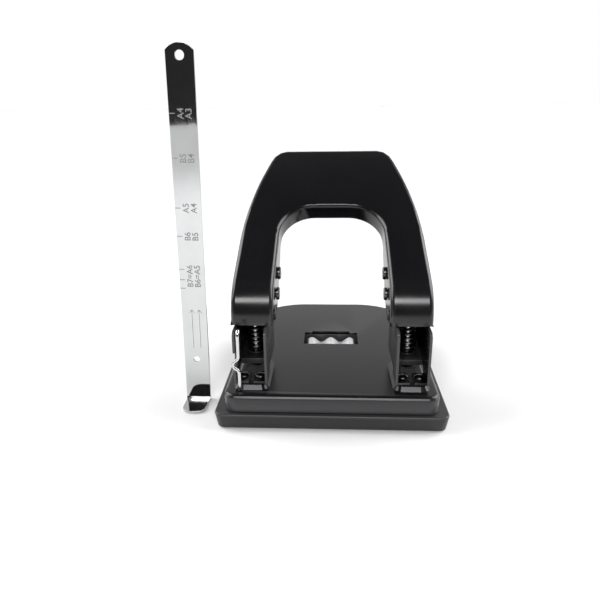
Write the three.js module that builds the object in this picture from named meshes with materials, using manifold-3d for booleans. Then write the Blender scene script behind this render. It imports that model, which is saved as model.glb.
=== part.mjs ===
// Two-hole desk punch: a pressed plate on a chip tray, two brackets with sprung
// punches, one pressed handle over both, a lock wire and a loose paper guide.
// Lengths in mm. Depths (y) are counted from the plate's near edge, heights (z)
// from the underside of the tray; the whole group is moved to the base's centre.
import * as THREE from "three";
import { mergeVertices } from "three/addons/utils/BufferGeometryUtils.js";
import Module from "manifold-3d";

const wasm = await Module();
wasm.setup();

// ---- Driving dimensions -------------------------------------------------
const HOLE_SPACING = 80;
const SHEET = 1.2;
const GAP = 0.3;

const PLATE_HALF_W = 53.4;
const PLATE_DEPTH = 132.6;
const PLATE_TOP = 17.7;
const PLATE_NEAR_R = 6.5;
const TRAY_NEAR_R = 4.6;
const PLATE_FAR_R = 36;
const PLATE_EDGE_R = 2.4;

const TRAY_RIM_Z = 8.45;
const TRAY_OVERHANG = 2.6;
const TRAY_SIDE = 4.6;
const TRAY_DRAFT = 1.3;
const TRAY_WALL = 2;
const TRAY_FLOOR = 1.8;
const TRAY_LIP = 6;
const TRAY_LIP_H = 2.3;

const PAD_W = 18.4;
const PAD_Y0 = 5.9;
const PAD_Y1 = 40;
const PAD_H = 2.35;
const PAD_SLOPE = 1.6;

const WINDOW_HALF_W = 16.1;
const WINDOW_Y0 = 62.7;
const WINDOW_Y1 = 81.6;

const PUNCH_Y = 32;
const PUNCH_R = 3;
const DIE_R = 5;
const JAW_GAP = 4.35;
const JAW_T = 3;
const SPRING_R = 3.9;
const SPRING_WIRE_R = 0.62;
const SPRING_PITCH = 2.5;
const CAP_R = 5.2;
const CAP_H = 4.8;

const BRACKET_W = 16.6;
const BRACKET_Y0 = 7.3;
const BRACKET_Y1 = 48;
const BRACKET_TOP = 49;
const BRACKET_SPINE_Y = 20;
const BRACKET_BEND_R = 3.2;
const EAR_R = 5;

const PIVOT = [22.5, 52];
const PIVOT_R = 2.4;
const DRIVE = [33, 59.5];
const DRIVE_R = 2;
const BRACE = [43, 67.5];
const BRACE_R = 2;
const PIN_HEAD_R = 3.3;
const PIN_HEAD_T = 1.7;

const ARM_OUT_X = HOLE_SPACING / 2 + 10.2;
const ARM_IN_X = HOLE_SPACING / 2 - 11.2;
const KNUCKLE = [37.7, 50];
const KNUCKLE_R = 22;
const HANDLE_EDGE_R = 2.6;
const HANDLE_SLOPE = 0.6;
const GRIP_TIP_Y = 119.8;
const GRIP_TAPER = 10.3;
const GRIP_TAPER_RUN = 58;
const GRIP_TAPER_POWER = 1.87;
const GRIP_CORNER_R = 10;
const OPENING_TOP_Y = 75;
const OPENING_CORNER_R = 19;
const SKIRT = 11;

const GUIDE_X = -72.3;
const GUIDE_LEAN = 1.45;
const GUIDE_W = 13;
const GUIDE_Y = 27.1;
const GUIDE_H = 178.2;
const GUIDE_TOP_R = 8.4;
const GUIDE_FLAP = 15;

const WIRE_R = 0.9;
const WIRE_X = -HOLE_SPACING / 2 - 5;
const WIRE_Y = 4.6;

const PAD_TOP = PLATE_TOP + PAD_H;
const JAW_Z = PAD_TOP + JAW_GAP;
const FLANGE_Z = TRAY_RIM_Z + GAP;
const sides = [["left", -1], ["right", 1]];

// ---- Small geometry tools ----------------------------------------------
function signedVolume(g) {
  const p = g.attributes.position;
  const ix = g.index.array;
  const a = new THREE.Vector3();
  const b = new THREE.Vector3();
  const c = new THREE.Vector3();
  let v = 0;
  for (let i = 0; i < ix.length; i += 3) {
    a.fromBufferAttribute(p, ix[i]);
    b.fromBufferAttribute(p, ix[i + 1]);
    c.fromBufferAttribute(p, ix[i + 2]);
    v += a.dot(b.cross(c));
  }
  return v;
}

// A closed mesh from points and faces, always facing out.
function closed(points, faces) {
  const g = new THREE.BufferGeometry();
  g.setAttribute("position", new THREE.Float32BufferAttribute(points.flat(), 3));
  g.setIndex(faces.flat());
  const m = mergeVertices(g, 1e-4);
  if (signedVolume(m) < 0) {
    const ix = m.index.array;
    for (let i = 0; i < ix.length; i += 3) [ix[i + 1], ix[i + 2]] = [ix[i + 2], ix[i + 1]];
  }
  return m;
}

// Rings of equal length joined into a skin, each end closed by a fan.
function loft(rings) {
  const n = rings[0].length;
  const points = rings.flat();
  const faces = [];
  for (let i = 0; i + 1 < rings.length; i += 1) {
    for (let k = 0; k < n; k += 1) {
      const a = i * n + k;
      const b = i * n + ((k + 1) % n);
      faces.push([a, b, b + n], [a, b + n, a + n]);
    }
  }
  const last = (rings.length - 1) * n;
  for (let k = 1; k + 1 < n; k += 1) {
    faces.push([0, k + 1, k], [last, last + k, last + k + 1]);
  }
  return closed(points, faces);
}

function toSolid(geometry) {
  const g = geometry.clone();
  g.deleteAttribute("normal");
  g.deleteAttribute("uv");
  const m = mergeVertices(g, 1e-4);
  return new wasm.Manifold(
    new wasm.Mesh({
      numProp: 3,
      vertProperties: new Float32Array(m.attributes.position.array),
      triVerts: new Uint32Array(m.index.array),
    }),
  );
}

function toGeometry(solid) {
  const m = solid.getMesh();
  const g = new THREE.BufferGeometry();
  g.setAttribute("position", new THREE.Float32BufferAttribute(m.vertProperties, 3));
  g.setIndex([...m.triVerts]);
  return g;
}

const cut = (g, ...tools) =>
  toGeometry(tools.reduce((s, t) => s.subtract(toSolid(t)), toSolid(g)));
const join = (g, ...more) =>
  toGeometry(more.reduce((s, t) => s.add(toSolid(t)), toSolid(g)));
const common = (g, h) => toGeometry(toSolid(g).intersect(toSolid(h)));

function box(x0, x1, y0, y1, z0, z1) {
  const g = new THREE.BoxGeometry(x1 - x0, y1 - y0, z1 - z0);
  return g.translate((x0 + x1) / 2, (y0 + y1) / 2, (z0 + z1) / 2);
}

function shapeOf(points) {
  return new THREE.Shape(points.map(([a, b]) => new THREE.Vector2(a, b)));
}

// A plan outline (x, y) raised from z0 to z1.
function prismZ(points, z0, z1) {
  const options = { depth: z1 - z0, bevelEnabled: false };
  return new THREE.ExtrudeGeometry(shapeOf(points), options).translate(0, 0, z0);
}

// A side outline (y, z) drawn out from x0 to x1.
function prismX(points, x0, x1) {
  const options = { depth: x1 - x0, bevelEnabled: false };
  const g = new THREE.ExtrudeGeometry(shapeOf(points), options);
  return g.rotateZ(Math.PI / 2).rotateY(Math.PI / 2).translate(x0, 0, 0);
}

// A front outline (x, z) drawn out from y0 to y1.
function prismY(points, y0, y1) {
  const options = { depth: y1 - y0, bevelEnabled: false };
  const g = new THREE.ExtrudeGeometry(shapeOf(points), options);
  return g.rotateX(Math.PI / 2).translate(0, y1, 0);
}

// A turned body about a vertical axis; the profile is (radius, z) from the axis and back.
function turned(profile, x, y, segments = 24) {
  const points = profile.map(([r, z]) => new THREE.Vector2(r, z));
  const g = new THREE.LatheGeometry(points, segments);
  return closedTurned(g).rotateX(Math.PI / 2).translate(x, y, 0);
}

function closedTurned(g) {
  g.deleteAttribute("normal");
  g.deleteAttribute("uv");
  const m = mergeVertices(g, 1e-4);
  const kept = [];
  for (let i = 0; i < m.index.count; i += 3) {
    const [a, b, c] = m.index.array.slice(i, i + 3);
    if (a !== b && b !== c && c !== a) kept.push(a, b, c);
  }
  m.setIndex(kept);
  if (signedVolume(m) < 0) {
    for (let i = 0; i < kept.length; i += 3) [kept[i + 1], kept[i + 2]] = [kept[i + 2], kept[i + 1]];
    m.setIndex(kept);
  }
  return m;
}

// The same, lying along x.
function turnedX(profile, y, z, segments = 20) {
  const points = profile.map(([r, x]) => new THREE.Vector2(r, x));
  const g = closedTurned(new THREE.LatheGeometry(points, segments));
  return g.rotateZ(-Math.PI / 2).translate(0, y, z);
}

const rodX = (r, x0, x1, [y, z], segments = 20) =>
  turnedX([[0, x0], [r, x0], [r, x1], [0, x1]], y, z, segments);
const rodZ = (r, z0, z1, x, y, segments = 24) =>
  turned([[0, z0], [r, z0], [r, z1], [0, z1]], x, y, segments);
const rodY = (r, y0, y1, x, z, segments = 20) =>
  turned([[0, -y1], [r, -y1], [r, -y0], [0, -y0]], x, 0, segments).rotateX(Math.PI / 2)
    .translate(0, 0, z);

function arc([cx, cy], r, from, to, steps) {
  const out = [];
  for (let i = 0; i <= steps; i += 1) {
    const a = THREE.MathUtils.degToRad(from + ((to - from) * i) / steps);
    out.push([cx + r * Math.cos(a), cy + r * Math.sin(a)]);
  }
  return out;
}

// A rectangle with its own near and far corner radii, drawn in by inset.
function roundedOutline(x0, x1, y0, y1, nearR, farR, inset, steps = 8) {
  const n = Math.max(0.5, nearR - inset);
  const f = farR - inset;
  const [a, b, c, d] = [x0 + inset, x1 - inset, y0 + inset, y1 - inset];
  return [
    ...arc([a + n, c + n], n, 180, 270, steps),
    ...arc([b - n, c + n], n, 270, 360, steps),
    ...arc([b - f, d - f], f, 0, 90, steps + 4),
    ...arc([a + f, d - f], f, 90, 180, steps + 4),
  ];
}

const atZ = (points, z) => points.map(([x, y]) => [x, y, z]);

// Round wire along a path, carried without twist.
function wire(path, r, sidesCount) {
  const rings = [];
  const up = new THREE.Vector3(0.31, 0.83, 0.46).normalize();
  const tangent = new THREE.Vector3();
  for (let i = 0; i < path.length; i += 1) {
    const before = path[Math.max(0, i - 1)];
    const after = path[Math.min(path.length - 1, i + 1)];
    tangent.subVectors(after, before).normalize();
    up.addScaledVector(tangent, -up.dot(tangent)).normalize();
    const across = new THREE.Vector3().crossVectors(tangent, up);
    const ring = [];
    for (let k = 0; k < sidesCount; k += 1) {
      const a = (k / sidesCount) * 2 * Math.PI;
      const p = path[i].clone().addScaledVector(up, r * Math.cos(a));
      ring.push(p.addScaledVector(across, r * Math.sin(a)).toArray());
    }
    rings.push(ring);
  }
  return loft(rings);
}

const group = new THREE.Group();
function node(name, geometry, colour, metalness, roughness) {
  const g = geometry.clone();
  g.computeVertexNormals();
  const material = new THREE.MeshStandardMaterial({ color: colour, metalness, roughness });
  const mesh = new THREE.Mesh(g, material);
  mesh.name = name;
  group.add(mesh);
}
const STEEL = [0x9a9c9e, 1, 0.3];
const CHROME = [0xd8d8d8, 1, 0.12];
const PAINT = [0x0c0c0d, 0.2, 0.25];
const PLASTIC = [0x141415, 0, 0.5];

// ---- Base plate ---------------------------------------------------------
function plateOutline(inset) {
  const [w, d] = [PLATE_HALF_W, PLATE_DEPTH];
  return roundedOutline(-w, w, 0, d, PLATE_NEAR_R, PLATE_FAR_R, inset);
}

function plateShell(inset, top, edge, bottom) {
  const rings = [atZ(plateOutline(inset), bottom)];
  for (const a of [0, 22.5, 45, 67.5, 90]) {
    const t = THREE.MathUtils.degToRad(a);
    const inward = inset + edge * (1 - Math.cos(t));
    rings.push(atZ(plateOutline(inward), top - edge * (1 - Math.sin(t))));
  }
  return loft(rings);
}

function pad(x, inset, drop) {
  const half = PAD_W / 2;
  const outline = (more) =>
    roundedOutline(x - half, x + half, PAD_Y0, PAD_Y1, 5, 5, inset + more, 5);
  const low = PLATE_TOP - drop;
  return loft([
    atZ(outline(0), low - SHEET),
    atZ(outline(0), low),
    atZ(outline(PAD_SLOPE), low + PAD_H - 0.3),
    atZ(outline(PAD_SLOPE + 0.4), low + PAD_H),
  ]);
}

const half = HOLE_SPACING / 2;
const RIVET_R = 1.5;
const RIVET_Y = 13.4;
const rivetX = [-1, 1].map((s) => s * 4.1);
let plate = plateShell(0, PLATE_TOP, PLATE_EDGE_R, FLANGE_Z);
for (const [, s] of sides) plate = join(plate, pad(s * half, 0, 0));
plate = cut(plate, plateShell(SHEET, PLATE_TOP - SHEET, PLATE_EDGE_R - SHEET, FLANGE_Z - 1));
for (const [, s] of sides) {
  plate = cut(
    plate,
    pad(s * half, 0.5, SHEET),
    rodZ(PUNCH_R + GAP, PLATE_TOP - 3, PAD_TOP + 1, s * half, PUNCH_Y),
    ...rivetX.map((dx) => rodZ(RIVET_R + GAP, PLATE_TOP - 3, PAD_TOP + 1, s * half + dx, RIVET_Y, 16)),
  );
}
const SLOT_Y0 = 64.6;
const SLOT_Y1 = 79.6;
const SLOT_Z0 = 11.4;
const SLOT_Z1 = 14.6;
const TAB_W = 4.5;
plate = cut(
  plate,
  box(-WINDOW_HALF_W, WINDOW_HALF_W, WINDOW_Y0, WINDOW_Y1 - 2, PLATE_TOP - 2.5, PLATE_TOP + 1),
  box(-WINDOW_HALF_W + TAB_W, WINDOW_HALF_W - TAB_W, WINDOW_Y1 - 3, WINDOW_Y1, PLATE_TOP - 2.5, PLATE_TOP + 1),
  box(-PLATE_HALF_W - 1, PLATE_HALF_W + 1, SLOT_Y0, SLOT_Y1, SLOT_Z0, SLOT_Z1),
  rodZ(WIRE_R + GAP, PLATE_TOP - 3, PLATE_TOP + 1, WIRE_X, WIRE_Y, 16),
);
node("base_plate", plate, ...PAINT);

// ---- Chip tray ----------------------------------------------------------
function trayOutline(inset) {
  const [w, d, o] = [PLATE_HALF_W + TRAY_SIDE, PLATE_DEPTH, TRAY_OVERHANG];
  return roundedOutline(-w, w, -o, d + o, TRAY_NEAR_R, PLATE_FAR_R + TRAY_SIDE, inset);
}
const tray = cut(
  loft([
    atZ(trayOutline(TRAY_DRAFT + 0.8), 0),
    atZ(trayOutline(TRAY_DRAFT), 0.8),
    atZ(trayOutline(0.2), TRAY_RIM_Z - 1.4),
    atZ(trayOutline(0), TRAY_RIM_Z - 0.9),
    atZ(trayOutline(0.3), TRAY_RIM_Z - 0.2),
    atZ(trayOutline(0.9), TRAY_RIM_Z),
  ]),
  loft([
    atZ(trayOutline(TRAY_DRAFT + TRAY_WALL + 0.6), TRAY_FLOOR),
    atZ(trayOutline(TRAY_DRAFT + TRAY_WALL), TRAY_FLOOR + 0.8),
    atZ(trayOutline(TRAY_WALL + 0.3), TRAY_RIM_Z - TRAY_LIP_H),
    atZ(trayOutline(TRAY_LIP), TRAY_RIM_Z - TRAY_LIP_H + 0.4),
    atZ(trayOutline(TRAY_LIP), TRAY_RIM_Z + 1),
  ]),
);
node("chip_tray", tray, ...PLASTIC);

// ---- Paper-guide channel and its catch ----------------------------------
const CHANNEL_HALF_L = PLATE_HALF_W - SHEET - PLATE_EDGE_R;
const CHANNEL_TOP = PLATE_TOP - SHEET - GAP;
const channel = prismX(
  [
    [SLOT_Y0 - 1.2, CHANNEL_TOP],
    [SLOT_Y0 - 1.2, SLOT_Z0 - 1.4],
    [SLOT_Y1 + 1.2, SLOT_Z0 - 1.4],
    [SLOT_Y1 + 1.2, CHANNEL_TOP],
    [SLOT_Y1 + 0.2, CHANNEL_TOP],
    [SLOT_Y1 + 0.2, SLOT_Z0 - 0.4],
    [SLOT_Y0 - 0.2, SLOT_Z0 - 0.4],
    [SLOT_Y0 - 0.2, CHANNEL_TOP],
  ],
  -CHANNEL_HALF_L,
  CHANNEL_HALF_L,
);
node("guide_channel", channel, ...STEEL);

const CATCH_HALF_L = 14.5;
const wave = (x) => 14.4 + 1.5 * Math.cos((x / CATCH_HALF_L) * 2.5 * Math.PI);
const catchTop = [];
const catchLow = [];
for (let i = 0; i <= 30; i += 1) {
  const x = -CATCH_HALF_L + (2 * CATCH_HALF_L * i) / 30;
  catchLow.push([x, wave(x) - 0.3]);
  catchTop.unshift([x, wave(x) + 0.3]);
}
node("guide_catch_spring", prismY([...catchLow, ...catchTop], SLOT_Y0 + 0.3, 76), ...CHROME);

// ---- Brackets -----------------------------------------------------------
function bracket(x) {
  const h = BRACKET_W / 2;
  const far = BRACKET_Y1;
  const ro = BRACKET_BEND_R;
  const ri = ro - SHEET;
  const plan = [
    [x - h, BRACKET_Y0],
    [x - h + SHEET, BRACKET_Y0],
    ...arc([x - h + ro, far - ro], ri, 180, 90, 5),
    ...arc([x + h - ro, far - ro], ri, 90, 0, 5),
    [x + h - SHEET, BRACKET_Y0],
    [x + h, BRACKET_Y0],
    ...arc([x + h - ro, far - ro], ro, 0, 90, 5),
    ...arc([x - h + ro, far - ro], ro, 90, 180, 5),
  ];
  const foot = PAD_TOP + GAP;
  const side = [
    [BRACKET_Y0 - 1, foot],
    [BRACKET_SPINE_Y, foot],
    [BRACKET_SPINE_Y, JAW_Z - 1],
    [BRACKET_SPINE_Y + 1, JAW_Z],
    [BRACKET_Y1 - 3, JAW_Z],
    [BRACKET_Y1 + 1, JAW_Z + 2.6],
    [BRACKET_Y1 + 1, BRACKET_TOP],
    [PIVOT[0] + EAR_R + 1, BRACKET_TOP],
    ...arc(PIVOT, EAR_R, 0, 180, 10),
    [PIVOT[0] - EAR_R, BRACKET_TOP],
    [PIVOT[0] - EAR_R - 0.5, BRACKET_TOP - 0.8],
    [BRACKET_Y0 + 2, BRACKET_TOP - 0.8],
    [BRACKET_Y0, BRACKET_TOP - 2.8],
    [BRACKET_Y0 - 1, BRACKET_TOP - 2.8],
  ];
  let g = common(prismZ(plan.reverse(), 15, 62), prismX(side, x - h - 1, x + h + 1));
  for (const s of [-1, 1]) {
    const [a, b] = [x + s * (h - SHEET / 2), x + s * 1.2].sort((m, n) => m - n);
    g = join(g, box(a, b, BRACKET_Y0 + 0.8, BRACKET_SPINE_Y - 1, foot, foot + SHEET));
  }
  const holes = rivetX.map((dx) => rodZ(RIVET_R + GAP, 15, foot + 3, x + dx, RIVET_Y, 16));
  return cut(g, rodX(PIVOT_R + GAP, x - h - 2, x + h + 2, PIVOT), ...holes);
}
for (const [name, s] of sides) {
  let g = bracket(s * half);
  if (s < 0) {
    const wall = -half - BRACKET_W / 2;
    g = cut(g, box(wall - 1, wall + SHEET + 0.8, BRACKET_Y0 - 1, BRACKET_Y0 + 5.4, 27, 37));
  }
  node("bracket_" + name, g, ...PAINT);
}

// ---- Everything that comes once per hole --------------------------------
const JAW_HALF_W = BRACKET_W / 2 - SHEET - GAP;
const PIN_TOP = DRIVE[1] - DRIVE_R - GAP;
const CAP_Z = PIN_TOP - CAP_H;
const SEAT_Z = JAW_Z + JAW_T + GAP;
function springPath(x) {
  const [z0, z1] = [SEAT_Z + 0.8 + GAP + SPRING_WIRE_R, CAP_Z - GAP - SPRING_WIRE_R];
  const turns = (z1 - z0) / SPRING_PITCH;
  const steps = Math.round(turns * 14);
  const points = [];
  for (let i = 0; i <= steps; i += 1) {
    const a = (i / steps) * turns * 2 * Math.PI;
    const z = z0 + (z1 - z0) * (i / steps);
    points.push(new THREE.Vector3(x + SPRING_R * Math.cos(a), PUNCH_Y + SPRING_R * Math.sin(a), z));
  }
  return points;
}

for (const [name, s] of sides) {
  const x = s * half;
  const jaw = cut(
    box(x - JAW_HALF_W, x + JAW_HALF_W, BRACKET_SPINE_Y + 2, BRACKET_Y1 - BRACKET_BEND_R, JAW_Z, JAW_Z + JAW_T),
    rodZ(PUNCH_R + GAP, JAW_Z - 1, JAW_Z + JAW_T + 1, x, PUNCH_Y),
  );
  node("jaw_plate_" + name, jaw, ...STEEL);
  const seat = turned(
    [
      [PUNCH_R + GAP, SEAT_Z], [CAP_R, SEAT_Z], [CAP_R, SEAT_Z + 0.8],
      [PUNCH_R + GAP, SEAT_Z + 0.8], [PUNCH_R + GAP, SEAT_Z],
    ], x, PUNCH_Y);
  node("spring_seat_" + name, seat, ...STEEL);
  const dieTop = PAD_TOP - SHEET - GAP;
  const die = turned(
    [
      [PUNCH_R + GAP, dieTop - 3.4], [DIE_R, dieTop - 3.4], [DIE_R, dieTop - 0.5], [DIE_R - 0.5, dieTop],
      [PUNCH_R + GAP, dieTop], [PUNCH_R + GAP, dieTop - 3.4],
    ], x, PUNCH_Y);
  node("die_" + name, die, ...STEEL);
  const pin = turned(
    [
      [0, JAW_Z + 0.9], [PUNCH_R * 0.6, JAW_Z + 0.5], [PUNCH_R, JAW_Z + 0.2],
      [PUNCH_R, CAP_Z + 1.6], [0, CAP_Z + 1.6],
    ], x, PUNCH_Y);
  node("punch_pin_" + name, pin, ...CHROME);
  const cap = turned(
    [
      [0, CAP_Z + 1.6 + GAP], [PUNCH_R + GAP, CAP_Z + 1.6 + GAP], [PUNCH_R + GAP, CAP_Z],
      [CAP_R, CAP_Z], [CAP_R, PIN_TOP - 0.8], [CAP_R - 0.8, PIN_TOP], [0, PIN_TOP],
    ], x, PUNCH_Y);
  node("spring_cap_" + name, cap, ...STEEL);
  node("return_spring_" + name, wire(springPath(x), SPRING_WIRE_R, 6), ...STEEL);

  // Cross pins: flush outside, headed on the side that faces the middle.
  const arm = [ARM_OUT_X - 0.4, ARM_IN_X - GAP];
  const pinAt = (r, [y, z], headR = PIN_HEAD_R, headT = PIN_HEAD_T) => {
    const profile = [
      [0, arm[0]], [r, arm[0]], [r, arm[1]], [headR, arm[1]],
      [headR, arm[1] - headT + 0.4], [headR - 0.4, arm[1] - headT], [0, arm[1] - headT],
    ];
    return turnedX(profile.map(([a, b]) => [a, s * b]), y, z);
  };
  node("pivot_pin_" + name, pinAt(PIVOT_R, PIVOT, PIVOT_R + 0.6, 0.6), ...STEEL);
  node("drive_pin_" + name, pinAt(DRIVE_R, DRIVE), ...STEEL);
  node("brace_pin_" + name, pinAt(BRACE_R, BRACE), ...STEEL);

  rivetX.forEach((dx, i) => {
    const top = PAD_TOP + GAP + SHEET + GAP;
    const low = PAD_TOP - SHEET - GAP;
    const rivet = turned(
      [
        [0, low - 1.2], [2.4, low - 1.2], [2.4, low], [RIVET_R, low], [RIVET_R, top],
        [2.7, top], [2.5, top + 0.8], [1.6, top + 1.3], [0, top + 1.5],
      ], x + dx, RIVET_Y, 16);
    const where = dx * s > 0 ? "outer" : "inner";
    node("foot_rivet_" + name + "_" + where, rivet, ...STEEL);
    return i;
  });
}

// ---- Handle -------------------------------------------------------------
// Stations run from the left arm's front end, round the grip, to the right arm's.
// Each has an outer and an inner edge on the top skin, and a foot for each skirt.
const kneeEnd = arc(KNUCKLE, KNUCKLE_R, 120, 120, 1)[0];
const topZ = (y) => kneeEnd[1] + HANDLE_SLOPE * (y - kneeEnd[0]);
const slopeLength = Math.hypot(1, HANDLE_SLOPE);
const planeNormal = [0, -HANDLE_SLOPE / slopeLength, 1 / slopeLength];

const front = KNUCKLE[0] - KNUCKLE_R;
const frontZ = BRACKET_TOP - 0.5;
const kneeFeet = [
  [front, frontZ], [17.6, 48.2], [19.6, 47.9], [22, 47.7], [25, 47.6], [28, 47.6],
  [31, 47.7], [34, 48.1], [37.4, 49.0],
];
const knee = [[front, frontZ], ...arc(KNUCKLE, KNUCKLE_R, 178, 120, 7)];
const stations = knee.map(([y, z], i) => {
  const angle = Math.max(0, Math.min(1, (i - 1) / 7)) * 60;
  const t = THREE.MathUtils.degToRad(180 - angle);
  return {
    y, z, foot: kneeFeet[i], outer: ARM_OUT_X, inner: ARM_IN_X,
    normal: [0, Math.cos(t), Math.sin(t)],
  };
});
const armRun = [[32, 40.8, 50.9], [37.5, 43.6, 53.6], [44, 47.8, 58.2], [51, 53, 64.2]];
for (const [y, fy, fz] of armRun) {
  stations.push({
    y, z: topZ(y), foot: [fy, fz], normal: planeNormal,
    outer: ARM_OUT_X - 0.6 * ((y - 27) / 24), inner: ARM_IN_X - 0.3 * ((y - 27) / 24),
  });
}

// The grip: outer and inner outlines of one half, each sampled evenly by length.
function evenly(points, count) {
  const path = new THREE.CurvePath();
  for (let i = 0; i + 1 < points.length; i += 1) {
    const [a, b] = [points[i], points[i + 1]].map(([x, y]) => new THREE.Vector2(x, y));
    path.add(new THREE.LineCurve(a, b));
  }
  return path.getSpacedPoints(count).map((v) => [v.x, v.y]);
}
const armOuterEnd = ARM_OUT_X - 0.6;
const armInnerEnd = ARM_IN_X - 0.3;
const outerHalf = [];
const taperX = (y) =>
  armOuterEnd - GRIP_TAPER * (Math.max(0, y - 48) / GRIP_TAPER_RUN) ** GRIP_TAPER_POWER;
// The corner starts where the tapering side has turned by CORNER_TURN.
const CORNER_TURN = 20;
const turnAngle = THREE.MathUtils.degToRad(CORNER_TURN);
const cornerY = GRIP_TIP_Y - GRIP_CORNER_R;
const cornerStart = cornerY + GRIP_CORNER_R * Math.sin(turnAngle);
for (let i = 0; i < 12; i += 1) {
  const y = 51 + ((cornerStart - 51) * i) / 12;
  outerHalf.push([taperX(y), y]);
}
const cornerX = taperX(cornerStart) - GRIP_CORNER_R * Math.cos(turnAngle);
outerHalf.push(...arc([cornerX, cornerY], GRIP_CORNER_R, CORNER_TURN, 90, 8));
outerHalf.push([0, GRIP_TIP_Y]);
const innerCorner = [armInnerEnd - OPENING_CORNER_R, OPENING_TOP_Y - OPENING_CORNER_R];
const innerHalf = [
  [armInnerEnd, 51], ...arc(innerCorner, OPENING_CORNER_R, 0, 90, 12), [0, OPENING_TOP_Y],
];
const GRIP_STEPS = 22;
const outerEven = evenly(outerHalf, GRIP_STEPS);
const innerEven = evenly(innerHalf, GRIP_STEPS);

// One half as edge points, then mirrored to give the whole run of stations.
const halfRun = stations.map((st) => ({
  outer: [st.outer, st.y, st.z], inner: [st.inner, st.y, st.z], normal: st.normal,
  outerFoot: [st.outer, ...st.foot], innerFoot: [st.inner, ...st.foot],
}));
for (let i = 1; i <= GRIP_STEPS; i += 1) {
  const [[ox, oy], [ix, iy]] = [outerEven[i], innerEven[i]];
  const blend = Math.min(1, i / 6);
  const down = (x, y, depth) => {
    const d = depth + (16.5 - depth) * (1 - blend) ** 1.5;
    return [x, y - planeNormal[1] * d, topZ(y) - planeNormal[2] * d];
  };
  halfRun.push({
    outer: [ox, oy, topZ(oy)], inner: [ix, iy, topZ(iy)], normal: planeNormal,
    outerFoot: down(ox, oy, SKIRT), innerFoot: down(ix, iy, SKIRT - 1),
  });
}
const flip = ([x, y, z]) => [-x, y, z];
const mirrored = halfRun.map((r) => ({
  outer: flip(r.outer), inner: flip(r.inner), normal: r.normal,
  outerFoot: flip(r.outerFoot), innerFoot: flip(r.innerFoot),
}));
const run = [...mirrored, ...halfRun.slice(0, -1).reverse()];

function inward(key, i, towards) {
  const a = new THREE.Vector3(...run[Math.max(0, i - 1)][key]);
  const b = new THREE.Vector3(...run[Math.min(run.length - 1, i + 1)][key]);
  const n = new THREE.Vector3(...run[i].normal);
  const e = new THREE.Vector3().crossVectors(n, b.sub(a)).normalize();
  const want = new THREE.Vector3(...run[i][towards]).sub(new THREE.Vector3(...run[i][key]));
  return e.dot(want) < 0 ? e.negate() : e;
}

const rings = run.map((st, i) => {
  const n = new THREE.Vector3(...st.normal);
  const skin = (offset) => {
    const r = HANDLE_EDGE_R;
    const line = [];
    for (const [key, foot, other] of [["outer", "outerFoot", "inner"], ["inner", "innerFoot", "outer"]]) {
      const edge = new THREE.Vector3(...st[key]);
      const e = inward(key, i, other);
      const part = [new THREE.Vector3(...st[foot]).addScaledVector(e, offset)];
      const centre = edge.clone().addScaledVector(e, r).addScaledVector(n, -r);
      for (const a of [0, 30, 60, 90]) {
        const t = THREE.MathUtils.degToRad(a);
        const p = centre.clone().addScaledVector(e, -(r - offset) * Math.cos(t));
        part.push(p.addScaledVector(n, (r - offset) * Math.sin(t)));
      }
      line.push(...(key === "outer" ? part : part.reverse()));
    }
    return line.map((p) => p.toArray());
  };
  return [skin(0), skin(SHEET)];
});

function channelSweep(rows) {
  const k = rows[0][0].length;
  const n = 2 * k;
  const points = rows.flatMap(([out, inn]) => [...out, ...inn.slice().reverse()]);
  const faces = [];
  for (let i = 0; i + 1 < rows.length; i += 1) {
    for (let j = 0; j < n; j += 1) {
      const a = i * n + j;
      const b = i * n + ((j + 1) % n);
      faces.push([a, b, b + n], [a, b + n, a + n]);
    }
  }
  const last = (rows.length - 1) * n;
  for (let j = 0; j + 1 < k; j += 1) {
    const [a, b, c, d] = [j, j + 1, n - 2 - j, n - 1 - j];
    faces.push([a, c, b], [a, d, c]);
    faces.push([last + a, last + b, last + c], [last + a, last + c, last + d]);
  }
  return closed(points, faces);
}

const pinHoles = [[PIVOT_R, PIVOT], [DRIVE_R, DRIVE], [BRACE_R, BRACE]].map(([r, at]) =>
  rodX(r + GAP, -ARM_OUT_X - 5, ARM_OUT_X + 5, at));
node("handle", cut(channelSweep(rings), ...pinHoles), ...PAINT);

// ---- Lock wire ----------------------------------------------------------
const wirePoints = [
  [WIRE_X, WIRE_Y, 14.4], [WIRE_X, WIRE_Y, 22], [WIRE_X, WIRE_Y, 28], [WIRE_X - 0.6, WIRE_Y, 29.3],
  [WIRE_X - 2.4, WIRE_Y, 30.7], [WIRE_X - 3, WIRE_Y, 32.1], [WIRE_X - 2.4, WIRE_Y, 33.5],
  [WIRE_X - 0.6, WIRE_Y, 34.9], [WIRE_X, WIRE_Y, 36.3], [WIRE_X, WIRE_Y, 47.2],
  [WIRE_X, WIRE_Y + 0.5, 48.6], [WIRE_X, WIRE_Y + 1.6, 49.4], [WIRE_X, WIRE_Y + 2.6, 49.5],
].map((p) => new THREE.Vector3(...p));
node("lock_wire", wire(wirePoints, WIRE_R, 10), ...CHROME);

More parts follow.
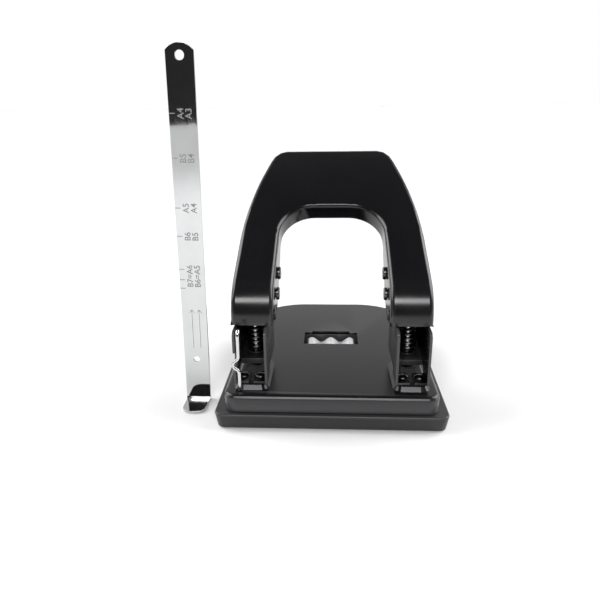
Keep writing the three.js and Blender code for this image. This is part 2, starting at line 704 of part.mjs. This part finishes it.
// ---- Paper guide --------------------------------------------------------
const gx = [GUIDE_X - GUIDE_W / 2, GUIDE_X + GUIDE_W / 2];
const guideSide = [
  [GUIDE_Y - GUIDE_FLAP, 0], [GUIDE_Y + SHEET, 0], [GUIDE_Y + SHEET, GUIDE_H],
  [GUIDE_Y, GUIDE_H], [GUIDE_Y, SHEET + 0.8], [GUIDE_Y - 0.8, SHEET], [GUIDE_Y - GUIDE_FLAP, SHEET],
];
const topCentre = [GUIDE_X, GUIDE_H - GUIDE_TOP_R];
const topTurn = THREE.MathUtils.radToDeg(Math.acos(GUIDE_W / 2 / GUIDE_TOP_R));
const faceOutline = [
  [gx[0], -1], [gx[1], -1], ...arc(topCentre, GUIDE_TOP_R, topTurn, 180 - topTurn, 16),
];
const flapX = [gx[0] + 0.4, gx[1] - 0.4];
const flapOutline = roundedOutline(flapX[0], flapX[1], GUIDE_Y - GUIDE_FLAP, GUIDE_Y + 20, 4.5, 1, 0, 6);
// The fold is a little out of square, so the strip leans within its own plane.
const lean = THREE.MathUtils.degToRad(GUIDE_LEAN);
const leaning = (g) => g.translate(-GUIDE_X, 0, 0).rotateY(lean).translate(GUIDE_X, 0, 0);
const strip = common(
  prismX(guideSide, gx[0] - 8, gx[1] + 8),
  leaning(prismY(faceOutline, GUIDE_Y - 0.8, 60)),
);
const flap = common(prismX(guideSide, gx[0], gx[1]), prismZ(flapOutline, -1, SHEET));
let guide = join(strip, flap);
guide = cut(
  guide,
  leaning(rodY(2.1, GUIDE_Y - 2, GUIDE_Y + 4, GUIDE_X, GUIDE_H - 5.2)),
  leaning(rodY(1.75, GUIDE_Y - 2, GUIDE_Y + 4, GUIDE_X, 24)),
);
node("paper_guide", guide, ...CHROME);

group.position.y = -PLATE_DEPTH / 2;
export default group;
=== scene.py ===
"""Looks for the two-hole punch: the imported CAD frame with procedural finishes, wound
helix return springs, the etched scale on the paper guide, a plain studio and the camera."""
import math

import bpy
from mathutils import Matrix, Vector


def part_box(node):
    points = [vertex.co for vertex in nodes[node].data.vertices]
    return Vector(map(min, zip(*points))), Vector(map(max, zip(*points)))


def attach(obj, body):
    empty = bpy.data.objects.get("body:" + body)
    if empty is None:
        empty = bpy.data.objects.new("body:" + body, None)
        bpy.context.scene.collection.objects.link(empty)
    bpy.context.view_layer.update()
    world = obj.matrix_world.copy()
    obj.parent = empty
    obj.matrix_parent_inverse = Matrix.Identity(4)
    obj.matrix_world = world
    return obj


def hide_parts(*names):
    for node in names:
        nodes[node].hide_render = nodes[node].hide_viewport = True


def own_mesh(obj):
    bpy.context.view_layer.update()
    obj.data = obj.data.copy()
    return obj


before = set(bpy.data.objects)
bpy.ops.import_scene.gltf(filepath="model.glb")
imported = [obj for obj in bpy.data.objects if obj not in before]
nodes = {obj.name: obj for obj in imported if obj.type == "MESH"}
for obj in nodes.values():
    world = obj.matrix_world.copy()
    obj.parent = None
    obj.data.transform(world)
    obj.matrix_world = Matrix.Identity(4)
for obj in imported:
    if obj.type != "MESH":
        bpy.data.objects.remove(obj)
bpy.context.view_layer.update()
scene = bpy.context.scene
MM = 0.001


# ---- Node helpers -----------------------------------------------------------
class Shader:
    """A material's node tree with short ways to add and join nodes."""

    def __init__(self, name):
        self.mat = bpy.data.materials.new(name)
        self.mat.use_nodes = True
        self.tree = self.mat.node_tree
        self.bsdf = self.tree.nodes["Principled BSDF"]
        self.coords = self.add("ShaderNodeTexCoord").outputs["Object"]

    def add(self, kind, **settings):
        node = self.tree.nodes.new(kind)
        for key, value in settings.items():
            setattr(node, key, value)
        return node

    def link(self, a, b):
        self.tree.links.new(a, b)

    def set(self, **values):
        for key, value in values.items():
            self.bsdf.inputs[key.replace("_", " ")].default_value = value

    def noise(self, scale, detail=3.0, roughness=0.55, stretch=None):
        node = self.add("ShaderNodeTexNoise")
        node.inputs["Scale"].default_value = scale
        node.inputs["Detail"].default_value = detail
        node.inputs["Roughness"].default_value = roughness
        source = self.coords
        if stretch:
            mapping = self.add("ShaderNodeMapping")
            mapping.inputs["Scale"].default_value = stretch
            self.link(source, mapping.inputs["Vector"])
            source = mapping.outputs["Vector"]
        self.link(source, node.inputs["Vector"])
        return node.outputs["Fac"]

    def ramp(self, source, low, high, a, b):
        node = self.add("ShaderNodeMapRange")
        node.inputs["From Min"].default_value = low
        node.inputs["From Max"].default_value = high
        node.inputs["To Min"].default_value = a
        node.inputs["To Max"].default_value = b
        self.link(source, node.inputs["Value"])
        return node.outputs["Result"]

    def mix(self, factor, a, b):
        node = self.add("ShaderNodeMix", data_type="RGBA")
        for socket, value in ((node.inputs[6], a), (node.inputs[7], b)):
            if isinstance(value, tuple):
                socket.default_value = value
            else:
                self.link(value, socket)
        self.link(factor, node.inputs[0])
        return node.outputs[2]

    def bump(self, height, strength, distance, after=None):
        node = self.add("ShaderNodeBump")
        node.inputs["Strength"].default_value = strength
        node.inputs["Distance"].default_value = distance
        self.link(height, node.inputs["Height"])
        if after:
            self.link(after, node.inputs["Normal"])
        return node.outputs["Normal"]

    def edges(self, low, high):
        """1 on convex edges, where the finishes lighten for wear and a painted rim highlight; 0
        elsewhere.
        """
        geometry = self.add("ShaderNodeNewGeometry")
        return self.ramp(geometry.outputs["Pointiness"], low, high, 0.0, 1.0)


def paint(name, roughness, peel, tone=0.0035, ior=1.45):
    """Gloss black enamel: faint orange peel, dust and lighter edges, partly thinner paint and
    partly a painted rim highlight.
    """
    s = Shader(name)
    s.set(Metallic=0.0, IOR=ior)
    dust = s.ramp(s.noise(420, 5, 0.7), 0.62, 0.8, 0.0, 1.0)
    clean = (tone, tone, tone * 1.25, 1)
    dusty = (tone + 0.006, tone + 0.006, tone + 0.0068, 1)
    # Convex edges are lightened: partly worn, thinner paint, partly a painted rim highlight.
    worn_and_rim_highlight = s.mix(s.edges(0.53, 0.6), s.mix(dust, clean, dusty), (0.06, 0.06, 0.064, 1))
    s.link(worn_and_rim_highlight, s.bsdf.inputs["Base Color"])
    smear = s.ramp(s.noise(38, 4), 0.3, 0.75, roughness, roughness + 0.07)
    s.link(smear, s.bsdf.inputs["Roughness"])
    waves = s.bump(s.noise(900, 2), peel, 0.00004)
    s.link(s.bump(s.noise(160, 1), peel * 0.5, 0.00012, waves), s.bsdf.inputs["Normal"])
    return s.mat


def plastic(name):
    """Moulded black plastic with a fine spark-eroded grain and scuffs."""
    s = Shader(name)
    s.set(Metallic=0.0, IOR=1.47)
    scuffs = s.ramp(s.noise(240, 6, 0.7, (1, 6, 1)), 0.58, 0.75, 0.0, 1.0)
    tone = s.mix(scuffs, (0.0055, 0.0055, 0.0062, 1), (0.014, 0.014, 0.015, 1))
    # Convex edges are lightened: partly scuffed, partly a painted rim highlight.
    worn_and_rim_highlight = s.mix(s.edges(0.52, 0.6), tone, (0.06, 0.06, 0.062, 1))
    s.link(worn_and_rim_highlight, s.bsdf.inputs["Base Color"])
    s.link(s.ramp(s.noise(60), 0.3, 0.7, 0.3, 0.42), s.bsdf.inputs["Roughness"])
    s.link(s.bump(s.noise(2600, 2), 0.25, 0.00006), s.bsdf.inputs["Normal"])
    return s.mat


def steel(name, tone, roughness):
    """Plated steel: fine drawn lines, patchy sheen and tarnished spots."""
    s = Shader(name)
    s.set(Metallic=1.0)
    spots = s.ramp(s.noise(300, 5, 0.7), 0.55, 0.8, 0.0, 1.0)
    dull = tuple(0.55 * c for c in tone[:3]) + (1,)
    s.link(s.mix(spots, tone, dull), s.bsdf.inputs["Base Color"])
    lines = s.noise(700, 3, 0.6, (1, 1, 30))
    s.link(s.ramp(lines, 0.3, 0.7, roughness, roughness + 0.16), s.bsdf.inputs["Roughness"])
    s.link(s.bump(lines, 0.12, 0.00003), s.bsdf.inputs["Normal"])
    return s.mat


def mirror(name, tone=(0.56, 0.565, 0.57, 1), roughness=0.035):
    """Chrome plate: near-mirror, very slight rolling waves and fine wipe marks."""
    s = Shader(name)
    s.set(Metallic=1.0)
    haze = s.ramp(s.noise(90, 5, 0.6), 0.45, 0.8, 0.0, 1.0)
    s.link(s.mix(haze, tone, (0.5, 0.5, 0.51, 1)), s.bsdf.inputs["Base Color"])
    wipes = s.noise(900, 4, 0.6, (8, 8, 0.6))
    s.link(s.ramp(wipes, 0.35, 0.75, roughness, roughness + 0.06), s.bsdf.inputs["Roughness"])
    s.link(s.bump(s.noise(26, 1), 0.1, 0.0004), s.bsdf.inputs["Normal"])
    return s.mat


def etched(name):
    """Matt grey etched into the guide's plate."""
    s = Shader(name)
    s.set(Metallic=0.0)
    grain = s.mix(s.noise(1500, 3), (0.2, 0.2, 0.205, 1), (0.3, 0.3, 0.3, 1))
    s.link(grain, s.bsdf.inputs["Base Color"])
    s.link(s.ramp(s.noise(2500, 2), 0.3, 0.7, 0.45, 0.65), s.bsdf.inputs["Roughness"])
    return s.mat


PAINT_PLATE = paint("paint_plate", 0.2, 0.1, 0.0045, 1.4)
PAINT_HANDLE = paint("paint_handle", 0.16, 0.12)
PAINT_BRACKET = paint("paint_bracket", 0.16, 0.16, 0.0025, 1.4)
PLASTIC = plastic("tray_plastic")
STEEL = steel("zinc_steel", (0.5, 0.5, 0.51, 1), 0.24)
SPRING = steel("spring_steel", (0.17, 0.17, 0.178, 1), 0.2)
RIVET = steel("rivet_steel", (0.09, 0.09, 0.094, 1), 0.2)
BRIGHT = steel("bright_zinc", (0.86, 0.86, 0.87, 1), 0.3)
CHROME = mirror("chrome")
GUIDE = mirror("guide_chrome", (0.55, 0.555, 0.56, 1), 0.02)
ETCHED = etched("etched_marks")


def finish_of(name):
    if name == "base_plate":
        return PAINT_PLATE
    if name == "handle":
        return PAINT_HANDLE
    # The jaw plate, guide channel and spring seats take the brackets' black paint as their
    # finish, chosen also as painted shade for the dark interior inside the brackets and under
    # the plate.
    if name.startswith(("bracket_", "jaw_plate", "guide_channel", "spring_seat", "spring_cap")):
        return PAINT_BRACKET
    if name == "guide_catch_spring":
        return BRIGHT
    if name == "chip_tray":
        return PLASTIC
    if name == "paper_guide":
        return GUIDE
    if name == "lock_wire" or name.startswith("punch_pin_"):
        return CHROME
    if name.startswith("return_spring_"):
        return SPRING
    if "pin_" in name or "rivet" in name:
        return RIVET
    return STEEL


# Edge radius in mm that the press, mould or tumbling leaves on each kind of piece.
EDGE_MM = {"chip_tray": 0.35, "handle": 0.28}
OTHER_EDGE_MM = 0.2
SHARP_DEG = 50  # edges sharper than this get the radius
FLAT_DEG = 0.8  # faces that differ by less than this count as one flat
PLATE_SPLIT_DEG = 7
WELD_MM = 0.002

for name, o in nodes.items():
    o.data.materials.clear()
    o.data.materials.append(finish_of(name))
    if "custom_normal" in o.data.attributes:
        o.data.attributes.remove(o.data.attributes["custom_normal"])
    o.data.shade_smooth()
    weld = o.modifiers.new("weld", "WELD")
    weld.merge_threshold = WELD_MM * MM
    round_wire = name.startswith("return_spring_") or name == "lock_wire"
    if name == "base_plate":
        # Shading smoothed across the broad flat top would light it unevenly.
        split = o.modifiers.new("split", "EDGE_SPLIT")
        split.split_angle = math.radians(PLATE_SPLIT_DEG)
        split.use_edge_sharp = False
    elif not round_wire:
        flats = o.modifiers.new("flats", "DECIMATE")
        flats.decimate_type = "DISSOLVE"
        flats.angle_limit = math.radians(FLAT_DEG)
        bevel = o.modifiers.new("edge", "BEVEL")
        bevel.width = EDGE_MM.get(name, OTHER_EDGE_MM) * MM
        bevel.segments = 2
        bevel.limit_method = "ANGLE"
        bevel.angle_limit = math.radians(SHARP_DEG)
        weighted = o.modifiers.new("normals", "WEIGHTED_NORMAL")
        weighted.weight = 90


# ---- Return springs wound as helices ----------------------------------------
COIL_WIRE_R = 0.62 * MM
COIL_PITCH = 2.5 * MM
STEPS_A_TURN = 28
WIRE_SIDES = 10


def helix(name, middle, radius, z0, z1):
    """A round wire wound upwards about an upright axis, closed at both ends."""
    turns = (z1 - z0) / COIL_PITCH
    steps = round(turns * STEPS_A_TURN)
    climb = COIL_PITCH / (2 * math.pi * radius)
    verts, faces = [], []
    for i in range(steps + 1):
        a = i / steps * turns * 2 * math.pi
        out = Vector((math.cos(a), math.sin(a), 0))
        along = Vector((-math.sin(a), math.cos(a), climb)).normalized()
        across = along.cross(out)
        centre = Vector((middle.x, middle.y, z0 + (z1 - z0) * i / steps)) + out * radius
        for k in range(WIRE_SIDES):
            b = k / WIRE_SIDES * 2 * math.pi
            verts.append(centre + COIL_WIRE_R * (math.cos(b) * out + math.sin(b) * across))
    for i in range(steps):
        n, m = i * WIRE_SIDES, (i + 1) * WIRE_SIDES
        for k in range(WIRE_SIDES):
            j = (k + 1) % WIRE_SIDES
            faces.append((n + k, n + j, m + j, m + k))
    faces.append(tuple(range(WIRE_SIDES - 1, -1, -1)))
    faces.append(tuple(steps * WIRE_SIDES + k for k in range(WIRE_SIDES)))
    mesh = bpy.data.meshes.new(name)
    mesh.from_pydata(verts, [], faces)
    mesh.shade_smooth()
    return mesh


def coil(side):
    """A helix that fills the CAD spring's box."""
    low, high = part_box("return_spring_" + side)
    middle = (low + high) / 2
    radius = (high.x - low.x) / 2 - COIL_WIRE_R
    mesh = helix("coil_" + side, middle, radius, low.z + COIL_WIRE_R, high.z - COIL_WIRE_R)
    mesh.materials.append(SPRING)
    o = bpy.data.objects.new("coil_" + side, mesh)
    scene.collection.objects.link(o)
    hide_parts("return_spring_" + side)
    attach(o, "base")
    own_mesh(o)


for side in ("left", "right"):
    coil(side)


# ---- The scale etched into the paper guide ----------------------------------
FOOT_REACH = 15  # from the foot's near end to the strip's face, in mm
HALF_STRIP = 6.5
MARK_PROUD = 0.04
MARK_DEPTH = 0.03
LEAN = math.radians(1.45)
foot_low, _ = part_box("paper_guide")
FACE_Y = foot_low.y + FOOT_REACH * MM - MARK_PROUD * MM
FOOT_X = foot_low.x + HALF_STRIP * MM


def on_strip(x, z):
    """A point on the leaning strip, x mm from its middle and z mm up its length."""
    across = x * math.cos(LEAN) + z * math.sin(LEAN)
    return FOOT_X + across * MM, (z * math.cos(LEAN) - x * math.sin(LEAN)) * MM


def on_guide(name, mesh_or_curve, place=None):
    """Adds a mark that moves with the paper guide."""
    o = bpy.data.objects.new(name, mesh_or_curve)
    scene.collection.objects.link(o)
    mesh_or_curve.materials.append(ETCHED)
    if place is not None:
        o.matrix_world = place
    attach(o, "guide")


def strokes(name, segments, width):
    """Flat strokes on the guide's face, each from (x, z) to (x, z) in mm."""
    verts, faces = [], []
    for (x0, z0), (x1, z1) in segments:
        along = Vector((x1 - x0, z1 - z0)).normalized() * width / 2
        across = Vector((-along.y, along.x))
        a, b = Vector((x0, z0)) - along, Vector((x1, z1)) + along
        n = len(verts)
        for depth in (0.0, MARK_DEPTH * MM):
            for p in (a - across, a + across, b + across, b - across):
                px, pz = on_strip(p.x, p.y)
                verts.append((px, FACE_Y + depth, pz))
        faces += [(n, n + 1, n + 2, n + 3), (n + 7, n + 6, n + 5, n + 4)]
        for k in range(4):
            j = (k + 1) % 4
            faces.append((n + k, n + 4 + k, n + 4 + j, n + j))
    mesh = bpy.data.meshes.new(name)
    mesh.from_pydata(verts, [], faces)
    mesh.update()
    on_guide(name, mesh)


TICK_HEIGHTS = (148.5, 128.5, 105, 91, 74, 68.5, 64)
TICK_FROM, TICK_TO = -6.2, -3.9
TICK_WIDTH = 0.38
strokes("guide_ticks", [((TICK_FROM, z), (TICK_TO, z)) for z in TICK_HEIGHTS], TICK_WIDTH)

ARROW_FOOT, ARROW_TIP = 31, 52.2
BARB_OUT, BARB_DOWN = 1.3, 1.6
ARROW_WIDTH = 0.24


def arrow(x):
    tip = (x, ARROW_TIP)
    barbs = [((x + side * BARB_OUT, ARROW_TIP - BARB_DOWN), tip) for side in (-1, 1)]
    return [((x, ARROW_FOOT), tip)] + barbs


strokes("guide_arrows", arrow(-1.2) + arrow(2.6), ARROW_WIDTH)

LABEL_SIZE = 4.2
LABEL_DEPTH = 0.02
LABEL_BOLDER = 0.04


def label(name, text, x, z):
    """Text that reads up the guide, as a curve object laid on its face."""
    curve = bpy.data.curves.new(name, "FONT")
    curve.body = text
    curve.size = LABEL_SIZE * MM
    curve.extrude = LABEL_DEPTH * MM
    curve.offset = LABEL_BOLDER * MM
    curve.align_x = "CENTER"
    curve.align_y = "CENTER"
    upright = Matrix.Rotation(math.radians(90), 4, "X")
    along_strip = Matrix.Rotation(math.radians(90) - LEAN, 4, "Z")
    px, pz = on_strip(x, z)
    on_guide(name, curve, Matrix.Translation((px, FACE_Y, pz)) @ upright @ along_strip)


# Two columns of labels: one beside the ticks, and one to the right of it.
NEAR_COLUMN, FAR_COLUMN = -0.9, 2.9
LABEL_ROWS = (
    (148.5, ("a4", "A4"), ("a3", "A3")),
    (128.5, ("b5", "B5"), ("b4", "B4")),
    (105, ("a5", "A5"), ("a4_short", "A4")),
    (91, ("b6", "B6"), ("b5_short", "B5")),
    (70.5, ("b7_a6", "B7=A6"), ("b6_a5", "B6=A5")),
)
for height, near, far in LABEL_ROWS:
    for x, (key, text) in ((NEAR_COLUMN, near), (FAR_COLUMN, far)):
        label("guide_label_" + key, text, x, height)


# ---- Surroundings -----------------------------------------------------------
FLOOR_SIZE = 40.0
FLOOR_MIDDLE_Y = 15.0
FLOOR_DROP = 0.2 * MM


def pale_floor():
    """A plain matt floor that runs far back behind the object."""
    s = Shader("floor")
    s.set(Roughness=0.6)
    mottle = s.mix(s.noise(6, 2), (0.865, 0.865, 0.865, 1), (0.885, 0.885, 0.88, 1))
    s.link(mottle, s.bsdf.inputs["Base Color"])
    mesh = bpy.data.meshes.new("floor")
    h = FLOOR_SIZE / 2
    mesh.from_pydata([(-h, -h, 0), (h, -h, 0), (h, h, 0), (-h, h, 0)], [], [(0, 1, 2, 3)])
    mesh.materials.append(s.mat)
    o = bpy.data.objects.new("floor", mesh)
    o.matrix_world = Matrix.Translation((0, FLOOR_MIDDLE_Y, -FLOOR_DROP))
    scene.collection.objects.link(o)


pale_floor()

world = bpy.data.worlds.new("studio")
scene.world = world
world.use_nodes = True
tree = world.node_tree
background = tree.nodes["Background"]
direction = tree.nodes.new("ShaderNodeTexCoord")
split = tree.nodes.new("ShaderNodeSeparateXYZ")
tree.links.new(direction.outputs["Generated"], split.inputs["Vector"])


def world_range(source, low, high, a, b):
    node = tree.nodes.new("ShaderNodeMapRange")
    node.interpolation_type = "SMOOTHSTEP"
    for key, value in (("From Min", low), ("From Max", high), ("To Min", a), ("To Max", b)):
        node.inputs[key].default_value = value
    tree.links.new(source, node.inputs["Value"])
    return node.outputs["Result"]


def world_math(kind, a, b):
    node = tree.nodes.new("ShaderNodeMath")
    node.operation = kind
    tree.links.new(a, node.inputs[0])
    tree.links.new(b, node.inputs[1])
    return node.outputs["Value"]


# White low down behind the object; a little dimmer above, dark in front and overhead.
behind = world_range(split.outputs["Y"], -0.35, 0.1, 0.035, 1.0)
upper = world_range(split.outputs["Z"], 0.2, 0.34, 1.0, 0.7)
overhead = world_range(split.outputs["Z"], 0.6, 0.95, 1.0, 0.12)
strength = world_math("MULTIPLY", world_math("MULTIPLY", behind, upper), overhead)
tree.links.new(strength, background.inputs["Strength"])
background.inputs["Color"].default_value = (1.0, 1.0, 1.0, 1)


def lamp(name, at, target, width, height, watts):
    data = bpy.data.lights.new(name, "AREA")
    data.shape = "RECTANGLE"
    data.size, data.size_y, data.energy = width, height, watts
    o = bpy.data.objects.new(name, data)
    o.location = at
    o.rotation_euler = (Vector(target) - Vector(at)).to_track_quat("-Z", "Y").to_euler()
    scene.collection.objects.link(o)


def soft_sun(name, towards, strength, degrees):
    data = bpy.data.lights.new(name, "SUN")
    data.energy, data.angle = strength, math.radians(degrees)
    o = bpy.data.objects.new(name, data)
    o.rotation_euler = (-Vector(towards)).to_track_quat("-Z", "Y").to_euler()
    scene.collection.objects.link(o)


lamp("front_top", (0.0, -0.85, 0.72), target=(0, 0, 0.05), width=0.7, height=0.22, watts=6.5)
for name, side in (("left_light", -1), ("right_light", 1)):
    soft_sun(name, (side * 0.8, 0.25, 0.55), strength=2.7, degrees=50)

# ---- Camera -----------------------------------------------------------------
CAMERA_AT = (-0.00097, -0.29904, 0.15128)
PITCH, YAW, ROLL = (math.radians(a) for a in (19.718, 3.297, -0.821))
LENS_MM = 32.607
SENSOR_MM = 36

camera = bpy.data.objects.new("camera", bpy.data.cameras.new("camera"))
scene.collection.objects.link(camera)
scene.camera = camera
camera.data.sensor_width = SENSOR_MM
camera.data.lens = LENS_MM
camera.data.clip_start = 0.01
ahead = Vector((
    -math.sin(YAW) * math.cos(PITCH), math.cos(YAW) * math.cos(PITCH), -math.sin(PITCH)))
level_right = Vector((math.cos(YAW), math.sin(YAW), 0))
level_up = level_right.cross(ahead)
right = math.cos(ROLL) * level_right + math.sin(ROLL) * level_up
up = -math.sin(ROLL) * level_right + math.cos(ROLL) * level_up
turned = Matrix((right, up, -ahead)).transposed().to_4x4()
camera.matrix_world = Matrix.Translation(CAMERA_AT) @ turned

scene.view_settings.view_transform = "Standard"

bpy.context.view_layer.update()
